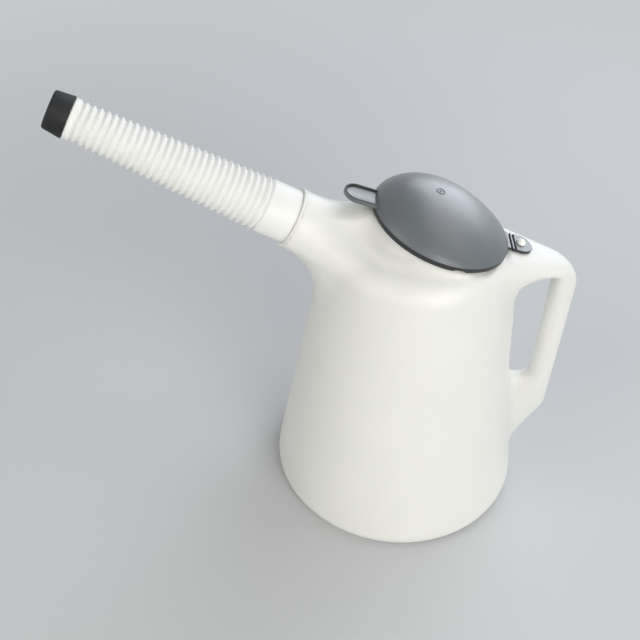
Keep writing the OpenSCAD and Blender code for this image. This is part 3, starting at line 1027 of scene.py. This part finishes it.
@dataclass(frozen=True)
class FlexibleSpout:
    """The corrugated spout and its pull-off cap, on the neck's axis.

    Sizes are in mm, and root_run counts pitches.
    """

    layout: Layout
    cuff_depth: float = 20.0
    cuff_out: float = 22.0
    cuff_bevel: float = 0.6
    cuff_end_l: float = 1.0
    cuff_end_past: float = 0.2
    cuff_end_sink: float = 0.25
    ridge_count: int = 28
    ridge_pitch: float = 4.85
    ridge_h: float = 2.0
    crest_proud: float = 0.3
    root_run: float = 0.75
    tip_crest_d: float = 28.8
    tip_collar_l: float = 4.0
    collar_r: float = 0.5
    bore_run: float = 1.0
    nozzle_l: float = 12.0
    nozzle_taper: float = 0.9
    nozzle_bevel: float = 0.4
    wall: float = 1.3
    cap_wall: float = 1.7
    cap_end: float = 1.8
    cap_proud: float = 0.5
    cap_play: float = 0.35
    cap_bore_bevel: float = 0.5
    cap_bore_end: float = 0.2
    cap_rim_r: tuple[float, float] = (0.3, 0.4)
    cap_edge_r: float = 1.8
    cap_crown_w: float = 4.0
    cap_crown_h: float = 0.05
    sharpness: float = 0.94
    samples: int = 12
    sides: int = 96

    @property
    def first_crest(self) -> float:
        """Height of the lowest crest above the neck's lip."""
        return self.cuff_out + self.root_run * self.ridge_pitch

    @property
    def nozzle_z(self) -> float:
        """Height at which the nozzle leaves the collar."""
        last = self.first_crest + (self.ridge_count - 1) * self.ridge_pitch
        return last + self.root_run * self.ridge_pitch + self.tip_collar_l

    @property
    def cap_in_r(self) -> float:
        """Inside radius of the cap's rim."""
        return self.tip_crest_d / 2.0 + self.cap_proud - self.cap_wall

    def ridges(self, inset: float) -> Array:
        """Profile over the ridges, a triangle wave with rounded crests and roots.

        The radius is crest - h (1/2 - asin(q cos w) / (2 asin q)) with w = 2 pi times the number of
        pitches from a crest, and the crest's radius falls evenly towards the tip.

        Args:
            inset: distance of the surface below the outside.

        Returns:
            Rows (radius, height) from the first root to the last.
        """
        turns = np.linspace(-0.5, self.ridge_count - 0.5, self.ridge_count * self.samples + 1)
        start = self.layout.cuff_d / 2.0 + self.crest_proud
        share = np.clip(turns / (self.ridge_count - 1), 0.0, 1.0)
        crest = start + (self.tip_crest_d / 2.0 - start) * share
        wave = np.arcsin(self.sharpness * np.cos(2.0 * np.pi * turns)) / (2.0 * np.arcsin(self.sharpness))
        radius = crest - inset - self.ridge_h * (0.5 - wave)
        return np.column_stack([radius, self.first_crest + turns * self.ridge_pitch])

    def build(self, finish: bpy.types.Material, cap_finish: bpy.types.Material) -> None:
        """Make the spout and the cap.

        Args:
            finish: the spout's finish.
            cap_finish: the cap's finish.
        """
        cuff_r, tip_r = self.layout.cuff_d / 2.0, self.tip_crest_d / 2.0
        nozzle_r = self.cap_in_r - self.cap_play
        slim_r = nozzle_r - self.nozzle_taper
        end = self.nozzle_z + self.nozzle_l
        root = self.nozzle_z - self.tip_collar_l
        r = self.collar_r
        outside = np.vstack([
            [cuff_r - self.cuff_bevel, -self.cuff_depth], [cuff_r, -self.cuff_depth + self.cuff_bevel],
            [cuff_r, 0.0], [cuff_r, self.cuff_out - self.cuff_end_l],
            [cuff_r - self.cuff_end_sink, self.cuff_out + self.cuff_end_past], self.ridges(0.0),
            arc((tip_r - r, root + r), r, -60.0, 0.0, 4),
            arc((tip_r - r, self.nozzle_z - r), r, 0.0, 90.0, 4),
            [nozzle_r, self.nozzle_z], [slim_r, end - self.nozzle_bevel], [slim_r - self.nozzle_bevel, end]])
        bore = nozzle_r - self.wall
        inside = np.vstack([
            [cuff_r - self.wall, -self.cuff_depth], [cuff_r - self.wall, self.cuff_out],
            self.ridges(self.wall)[::2],
            [bore, root + self.bore_run], [bore, self.nozzle_z], [bore - self.nozzle_taper, end]])
        tube = revolve(self.layout.neck, np.vstack([outside, inside[::-1]]), self.sides)
        spout = make_piece("corrugated_spout", tube, Body.JUG, finish, TURNED_CREASE)
        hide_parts("flexible_spout")
        self.build_cap(cap_finish)

    def build_cap(self, finish: bpy.types.Material) -> None:
        """Make the push-on cap, a thimble with a rounded end.

        Args:
            finish: the cap's finish.
        """
        rim_r = self.cap_in_r + self.cap_wall
        rim_z = self.nozzle_z + self.cap_play
        top = self.nozzle_z + self.nozzle_l + self.cap_play + self.cap_end
        end_r = rim_r - self.nozzle_taper - self.cap_proud
        bore_r, bore_z, bevel = self.cap_in_r - self.nozzle_taper, top - self.cap_end, self.cap_bore_bevel
        inner, outer = self.cap_rim_r
        edge = self.cap_edge_r
        profile = np.vstack([
            [AXIS_R, bore_z], [bore_r - bevel, bore_z], [bore_r, bore_z - bevel],
            [self.cap_in_r, rim_z + self.cap_bore_end],
            arc((self.cap_in_r + inner, rim_z + inner), inner, 180.0, 270.0, 4),
            arc((rim_r - outer, rim_z + outer), outer, -90.0, 0.0, 5),
            arc((end_r - edge, top - edge), edge, 4.0, 86.0, 10),
            [end_r - self.cap_crown_w, top - self.cap_crown_h], [AXIS_R, top]])
        thimble = revolve(self.layout.neck, profile, self.sides, loop=False)
        cap = make_piece("push_on_cap", thimble, Body.CAP, finish, TURNED_CREASE, mend=True)
        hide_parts("spout_cap")


@dataclass(frozen=True)
class DomedLid:
    """The lid: a dome that leans towards the spout, its skirt, thumb tab and strap stub.

    Sizes are in mm and degrees. notch_ramp is a share of the notch's half width, and gate_face holds rows
    (radius, height) from the ring's inside over the nub to the axis.
    """

    layout: Layout
    dome_h: float = 22.0
    dome_lean: float = 10.5
    dome_steps: int = 40
    inner_steps: int = 24
    inner_drop: float = 1.0
    skirt_bevel: float = 0.5
    skirt_bevel_in: float = 0.4
    tab_l: float = 22.5
    tab_w: float = 19.6
    tab_rise: float = 2.7
    tab_edge_h: float = 3.6
    tab_floor: float = 1.8
    tab_edge_w: float = 1.5
    tab_sink: float = 3.5
    tab_bevel: float = 0.35
    tab_draft: float = 0.1
    tab_steps: int = 28
    edge_r: float = 0.9
    edge_rings: int = 2
    notch_w: float = 7.0
    notch_h: float = 1.1
    notch_way: float = -79.0
    notch_ramp: float = 0.3
    notch_reach: float = 1.5
    gate_r: float = 3.0
    gate_sink: float = 0.6
    gate_bead_z: float = 0.05
    gate_bead_r: float = 0.35
    gate_sides: int = 48
    gate_face: tuple[tuple[float, float], ...] = (
        (2.5, 0.02), (0.9, 0.02), (0.7, 0.35), (0.35, 0.45), (AXIS_R, 0.45))
    stub_sink: float = 0.2
    stub_bevel: float = 0.25
    floor_over: float = 0.02
    sides: int = 192

    def cap_curve(self, radius: float, height: float, steps: int) -> Array:
        """Half of a round cap's profile from its rim to its top: a circle of (r^2 + h^2) / (2 h).

        Args:
            radius: radius of the rim.
            height: height of the top over the rim.
            steps: number of steps.

        Returns:
            Rows (radius, height), the last one at AXIS_R.
        """
        ball = (radius * radius + height * height) / (2.0 * height)
        rim = np.degrees(np.arcsin(radius / ball))
        curve = arc((0.0, height - ball), ball, 90.0 - rim, 90.0, steps)
        curve[-1, 0] = AXIS_R
        return curve

    def shell(self) -> Surface:
        """Dome and skirt as one closed wall.

        Each ring of the turned profile slides by -lean z / h towards the spout where z is above the
        rim, and the skirt's lower edge rises in the vent notch.

        Returns:
            Points in the jug's frame and faces.
        """
        lay = self.layout
        out_r, in_r = lay.lid_r, lay.lid_r - lay.lid_wall
        e, low, bevel = self.edge_r, -lay.skirt_h, self.skirt_bevel
        inner = self.cap_curve(in_r, self.dome_h - lay.lid_wall, self.inner_steps)
        dome = self.cap_curve(out_r, self.dome_h, self.dome_steps)[self.edge_rings:]
        step = dome[1] - dome[0]
        dome_way = np.degrees(np.arctan2(step[1], step[0])) - 90.0
        profile = np.vstack([
            inner[::-1], [in_r, -self.inner_drop], [in_r, low + bevel], [in_r + self.skirt_bevel_in, low],
            [out_r - bevel, low], [out_r, low + bevel], arc((out_r - e, -e), e, 0.0, dome_way, 6), dome])
        b = np.linspace(0.0, 2.0 * np.pi, self.sides, endpoint=False)
        r, z = profile[:, :1], np.repeat(profile[:, 1:], self.sides, axis=1)
        slide = self.dome_lean * np.maximum(z, 0.0) / self.dome_h
        along = (np.degrees(b) - self.notch_way + 180.0) % 360.0 - 180.0
        reach = np.degrees(self.notch_w / 2.0 / out_r)
        lift = self.notch_h * np.clip(1.0 + (reach - np.abs(along)) / (self.notch_ramp * reach), 0.0, 1.0)
        z = z + lift * np.clip(low + self.notch_reach - z, 0.0, 1.0)
        points = np.stack([r * np.cos(b) - slide, r * np.sin(b), z], axis=-1)
        faces = grid_faces(len(profile), self.sides, False)
        return lay.mouth.out(points.reshape(-1, 3)), faces

    def tab_path(self, inset: float) -> Array:
        """Outline of the thumb tab: straight sides and a round end.

        Args:
            inset: distance by which it is moved in.

        Returns:
            Rows (x, y) on the mouth's seat.
        """
        half = self.tab_w / 2.0 - inset
        middle = -self.layout.lid_r - self.tab_l + self.tab_w / 2.0
        root = -self.layout.lid_r + self.tab_sink
        end = arc((middle, 0.0), half, 90.0, 270.0, self.tab_steps)
        return np.vstack([[root, half], end, [root, -half]])

    def tab(self) -> Surface:
        """Thumb tab: a floor with a raised edge, whose profile follows the U of the outline.

        Returns:
            Points in the jug's frame and faces.
        """
        low, top = self.tab_rise - self.tab_edge_h, self.tab_rise
        floor = low + self.tab_floor
        w, c = self.tab_edge_w, self.tab_bevel
        rings = [
            (c, low), (0.0, low + c), (0.0, top - c), (c, top), (w - c, top), (w, top - c),
            (w + self.tab_draft, floor + c), (w + 2.0 * c, floor)]
        paths = [np.insert(self.tab_path(inset), 2, z, axis=1) for inset, z in rings]
        points = np.vstack(paths)
        n = len(paths[0])
        faces = [f for f in grid_faces(len(rings), n, False) if f[0] % n != n - 1]
        last = (len(rings) - 1) * n
        faces.append(list(range(n)))
        faces.append(list(range(last, last + n))[::-1])
        faces.append([i * n for i in range(len(rings))][::-1])
        faces.append([i * n + n - 1 for i in range(len(rings))])
        return self.layout.mouth.out(points), faces

    def gate(self) -> Surface:
        """Gate mark: a low ring with a nub in it, at the top of the dome.

        Returns:
            Points in the jug's frame and faces.
        """
        lay = self.layout
        top = lay.mouth.out(np.array([[-self.dome_lean, 0.0, self.dome_h]]))[0]
        seat = Seat(top[0], top[2], lay.mouth_tilt)
        profile = np.vstack([
            [AXIS_R, -self.gate_sink], [self.gate_r + self.gate_sink, -self.gate_sink],
            arc((self.gate_r, self.gate_bead_z), self.gate_bead_r, -10.0, 150.0, 8), self.gate_face])
        return revolve(seat, profile, self.gate_sides, loop=False)

    def build(self, finish: bpy.types.Material, painted_shade_finish: bpy.types.Material) -> None:
        """Make the lid's pieces.

        Args:
            finish: the lid's finish.
            painted_shade_finish: the darker finish that paints shade on the skirt, the tab's raised edge and
                the strap's sides.
        """
        lay = self.layout
        lid = make_piece(
            "lid_dome", self.shell(), Body.LID, finish, TURNED_CREASE, mend=True)
        # Painted shade: the skirt's faces get the darker charcoal
        trim_finish(lid, lay.mouth, painted_shade_finish, high=-self.edge_r / 2.0)
        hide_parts("lid")
        tab = make_piece("thumb_tab", self.tab(), Body.LID, finish, PLATE_CREASE, mend=True)
        floor = self.tab_rise - self.tab_edge_h + self.tab_floor
        # Painted shade: the tab's raised edge gets the darker charcoal, its floor keeps the lid's
        trim_finish(tab, lay.mouth, painted_shade_finish, low=floor + self.floor_over)
        make_piece("gate_mark", self.gate(), Body.LID, finish, mend=True)
        ends = lay.lid_r - lay.lid_wall + self.stub_sink, lay.fold_x - lay.groove_w / 2.0
        low, top = -lay.strap_drop - lay.strap_t, -lay.strap_drop
        stub = slab(lay.mouth, lay.strap_bar(*ends), low, top, self.stub_bevel)
        piece = make_piece("strap_stub", stub, Body.LID, finish, PLATE_CREASE)
        # Painted shade: the stub's sides and underside get the darker charcoal
        trim_finish(piece, lay.mouth, painted_shade_finish, high=top - lay.strap_skin)


@dataclass(frozen=True)
class RivetedHinge:
    """The strap's riveted leaf and the rivet, in mm and degrees."""

    layout: Layout
    hinge_bar: float = 1.6
    bar_bevel: float = 0.25
    groove_web: float = 1.0
    web_lap: tuple[float, float] = (0.6, 1.0)
    web_bevel: float = 0.1
    leaf_bevel: float = 0.4
    rivet_head_d: float = 7.4
    rivet_head_h: float = 3.2
    rivet_d: float = 3.6
    head_bevel: tuple[float, float] = (0.3, 0.25)
    head_start: float = 6.0
    rivet_sides: int = 64

    def leaf(self) -> Surface:
        """The strap's end: a bar along the fold, the thin web in the groove and the riveted plate.

        Returns:
            Points in the jug's frame and faces.
        """
        lay = self.layout
        low, top = -lay.strap_drop - lay.strap_t, -lay.strap_drop
        start = lay.fold_x + lay.groove_w / 2.0
        bar_end = start + self.hinge_bar
        plate = bar_end + lay.groove_w
        web = lay.strap_bar(start + self.web_lap[0], plate + self.web_lap[1], self.web_bevel)
        return join(
            slab(lay.mouth, lay.strap_bar(start, bar_end), low, top, self.bar_bevel),
            slab(lay.mouth, web, low, low + self.groove_web, self.web_bevel),
            slab(lay.mouth, lay.strap_outline(plate), low, top, self.leaf_bevel))

    def rivet(self) -> Surface:
        """Rivet with a domed head, a circle of (r^2 + h^2) / (2 h), and a straight shank.

        Returns:
            Points in the jug's frame and faces.
        """
        lay = self.layout
        head_r, h = self.rivet_head_d / 2.0, self.rivet_head_h
        ball = (head_r * head_r + h * h) / (2.0 * h)
        rim = np.degrees(np.arccos(1.0 - h / ball))
        base = -lay.strap_drop + lay.seat_gap
        foot = -lay.strap_drop - lay.strap_t - base
        middle = lay.mouth.out(np.array([[lay.fold_x + lay.rivet_x, 0.0, base]]))[0]
        shank_r = self.rivet_d / 2.0
        in_by, up_by = self.head_bevel
        profile = np.vstack([
            [AXIS_R, foot], [shank_r, foot], [shank_r, 0.0], [head_r - in_by, 0.0], [head_r, up_by],
            arc((0.0, h - ball), ball, 90.0 - rim + self.head_start, 90.0, 16)])
        profile[-1, 0] = AXIS_R
        seat = Seat(middle[0], middle[2], lay.mouth_tilt)
        return revolve(seat, profile, self.rivet_sides, loop=False)

    def build(self, finish: bpy.types.Material, painted_shade_finish: bpy.types.Material,
              rivet_finish: bpy.types.Material) -> None:
        """Make the leaf and the rivet.

        Args:
            finish: the leaf's finish.
            painted_shade_finish: the darker finish that paints shade on its sides and its groove.
            rivet_finish: the rivet's finish.
        """
        lay = self.layout
        piece = make_piece("riveted_leaf", self.leaf(), Body.JUG, finish, PLATE_CREASE)
        # Painted shade: the leaf's sides, underside and the web in its groove get the darker charcoal
        trim_finish(piece, lay.mouth, painted_shade_finish, high=-lay.strap_drop - lay.strap_skin)
        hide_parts("hinge_leaf")
        rivet = make_piece(
            "domed_rivet", self.rivet(), Body.JUG, rivet_finish, TURNED_CREASE, mend=True)
        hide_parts("hinge_rivet")


# The photograph's stage


def stand(thing: bpy.types.Object, axes: list[Array], place: Array) -> None:
    """Add a lamp or camera to the scene.

    Args:
        thing: its object.
        axes: directions of its own X, Y and Z.
        place: where it stands, in metres.
    """
    matrix = np.eye(4)
    matrix[:3, :3] = np.column_stack(axes)
    matrix[:3, 3] = place
    thing.matrix_world = Matrix(matrix.tolist())
    bpy.context.scene.collection.objects.link(thing)


@dataclass(frozen=True)
class SoftLamp:
    """A square soft light.

    Attributes:
        name: its name.
        place: where it hangs, in metres.
        size: its width, in metres.
        power: its power, in watts.
        tint: its sRGB colour.
    """

    name: str
    place: tuple[float, float, float]
    size: float
    power: float
    tint: str

    def hang(self, aim: tuple[float, float, float]) -> None:
        """Add it to the scene.

        Args:
            aim: the point that it faces, in metres.
        """
        data = bpy.data.lights.new(self.name, "AREA")
        data.size = self.size
        data.energy = self.power
        data.color = linear(self.tint)[:3]
        lamp = bpy.data.objects.new(self.name, data)
        back = unit(np.array(self.place) - aim)
        right = unit(np.cross([0.0, 1.0, 0.001], back))
        stand(lamp, [right, np.cross(back, right), back], np.array(self.place))


@dataclass(frozen=True)
class Studio:
    """Pale floor, soft lights and the camera.

    Attributes:
        camera_mm: place of the camera.
        way: azimuth from the front and elevation that it looks back along, and its roll, in degrees.
        focal_px: focal length in pixels of the frame.
        frame_px: width of the frame, in pixels.
        sensor_mm: width of the sensor.
        floor_tones: the floor's two tones.
        backdrop: tone of what lies behind.
        fade_m: distances from the jug over which the floor takes the backdrop's tone, in metres.
        sky_tint: colour of the even light.
        sky_light: strength of the even light.
        floor_m: reach of the floor from the jug, in metres.
        near_m: distance from which the camera sees, in metres.
        aim_m: the point that the lamps face, in metres.
        lamps: the soft lights.
    """

    camera_mm: tuple[float, float, float] = (-71.1, -520.1, 626.2)
    way: tuple[float, float, float] = (-0.2, 42.1, 1.7)
    focal_px: float = 888.09
    frame_px: float = 640.0
    sensor_mm: float = 36.0
    floor_tones: tuple[str, str] = ("#C4C6C8", "#BFC1C3")
    backdrop: str = "#C6C9CC"
    fade_m: tuple[float, float] = (0.35, 1.2)
    sky_tint: str = "#F1F2F4"
    sky_light: float = 0.36
    floor_m: float = 6.0
    near_m: float = 0.01
    aim_m: tuple[float, float, float] = (0.0, 0.0, 0.15)
    lamps: tuple[SoftLamp, ...] = (
        SoftLamp("overhead", (0.9, 0.3, 1.5), 1.2, 6.5, "#FAFCFF"),
        SoftLamp("window", (1.05, 1.72, 1.15), 1.7, 28.0, "#F0F5FF"),
        SoftLamp("front", (0.8, -1.68, 0.85), 1.4, 27.5, "#FFFDF8"),
        SoftLamp("left", (-1.2, -0.8, 0.9), 1.2, 8.5, "#FFFAF2"))

    def camera(self) -> None:
        """Stand the camera at the photograph's place."""
        data = bpy.data.cameras.new("camera")
        data.sensor_fit = "HORIZONTAL"
        data.sensor_width = self.sensor_mm
        data.lens = self.focal_px * self.sensor_mm / self.frame_px
        data.clip_start = self.near_m
        camera = bpy.data.objects.new("camera", data)
        azimuth, elevation, roll = np.radians(self.way)
        back = np.array([
            np.sin(azimuth) * np.cos(elevation), -np.cos(azimuth) * np.cos(elevation), np.sin(elevation)])
        right = np.array([np.cos(azimuth), np.sin(azimuth), 0.0])
        up = np.cross(back, right)
        c, s = np.cos(roll), np.sin(roll)
        stand(camera, [c * right + s * up, c * up - s * right, back], np.array(self.camera_mm) * MM)
        bpy.context.scene.camera = camera

    def in_view(self, tree: bpy.types.NodeTree) -> bpy.types.NodeSocket:
        """Add nodes that give 1 on what the camera, a reflection or clear material shows, or else 0.

        Args:
            tree: the node tree.

        Returns:
            That share.
        """
        path = add_node(tree, "ShaderNodeLightPath", {}).outputs
        shown = add_node(tree, "ShaderNodeMath", {0: path["Is Camera Ray"], 1: path["Is Glossy Ray"]})
        return add_node(tree, "ShaderNodeMath", {
            0: shown.outputs["Value"], 1: path["Is Transmission Ray"]}, use_clamp=True).outputs["Value"]

    def floor_paint(self) -> bpy.types.Material:
        """Pale matt floor that fades far out into the backdrop's tone.

        Returns:
            The material.
        """
        material = bpy.data.materials.new("pale_matt_paint")
        tree = clear_tree(material)
        place = add_node(tree, "ShaderNodeTexCoord", {}).outputs["Object"]
        cloud = add_node(tree, "ShaderNodeTexNoise", {"Vector": place, "Scale": 2.5, "Detail": 3.0})
        colour = add_node(tree, "ShaderNodeMix", {
            "Factor": cloud.outputs["Fac"],
            "A": linear(self.floor_tones[0]), "B": linear(self.floor_tones[1])}, data_type="RGBA")
        paint = add_node(tree, "ShaderNodeBsdfPrincipled", {
            "Base Color": colour.outputs["Result"], "Roughness": 0.9})
        far = add_node(tree, "ShaderNodeVectorMath", {0: place}, operation="LENGTH").outputs["Value"]
        fade = add_node(tree, "ShaderNodeMapRange", {
            "Value": far, "From Min": self.fade_m[0], "From Max": self.fade_m[1]},
            interpolation_type="SMOOTHSTEP")
        share = add_node(tree, "ShaderNodeMath", {
            0: fade.outputs["Result"], 1: self.in_view(tree)}, operation="MULTIPLY")
        backdrop = add_node(tree, "ShaderNodeEmission", {"Color": linear(self.backdrop), "Strength": 1.0})
        mix = add_node(tree, "ShaderNodeMixShader", {
            "Fac": share.outputs["Value"], 1: paint.outputs["BSDF"], 2: backdrop.outputs["Emission"]})
        add_node(tree, "ShaderNodeOutputMaterial", {"Surface": mix.outputs["Shader"]})
        return material

    def sky(self) -> None:
        """Light the jug evenly from all round, with the backdrop's tone where the world is in view."""
        world = bpy.data.worlds.new("soft_sky")
        tree = clear_tree(world)
        light = add_node(tree, "ShaderNodeBackground", {
            "Color": linear(self.sky_tint), "Strength": self.sky_light})
        backdrop = add_node(tree, "ShaderNodeBackground", {"Color": linear(self.backdrop), "Strength": 1.0})
        mix = add_node(tree, "ShaderNodeMixShader", {
            "Fac": self.in_view(tree), 1: light.outputs["Background"], 2: backdrop.outputs["Background"]})
        add_node(tree, "ShaderNodeOutputWorld", {"Surface": mix.outputs["Shader"]})
        bpy.context.scene.world = world

    def build(self) -> None:
        """Make the floor, the lights and the camera."""
        self.camera()
        mesh = bpy.data.meshes.new("floor")
        r = self.floor_m
        mesh.from_pydata([(-r, -r, 0.0), (r, -r, 0.0), (r, r, 0.0), (-r, r, 0.0)], [], [(0, 1, 2, 3)])
        mesh.materials.append(self.floor_paint())
        floor = bpy.data.objects.new("floor", mesh)
        bpy.context.scene.collection.objects.link(floor)
        self.sky()
        for lamp in self.lamps:
            lamp.hang(self.aim_m)


def main() -> None:
    """Build the pieces round the frame."""
    logging.basicConfig(level=logging.INFO, format="%(name)s: %(message)s")
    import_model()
    layout = Layout()
    milky = MILKY_POLYETHYLENE.material()
    charcoal = CHARCOAL_POLYPROPYLENE.material()
    JugShell(layout).build(milky)
    FlexibleSpout(layout).build(WHITE_POLYETHYLENE.material(), BLACK_POLYETHYLENE.material())
    # Darker charcoal that paints shade on the lid's skirt, the tab's raised edge and the strap's sides and
    # grooves
    edge = CHARCOAL_PAINTED_SHADE.material()
    DomedLid(layout).build(charcoal, edge)
    RivetedHinge(layout).build(charcoal, edge, WHITE_NYLON.material())
    Studio().build()
    bpy.context.scene.view_settings.view_transform = "Standard"


if __name__ == "__main__":
    main()
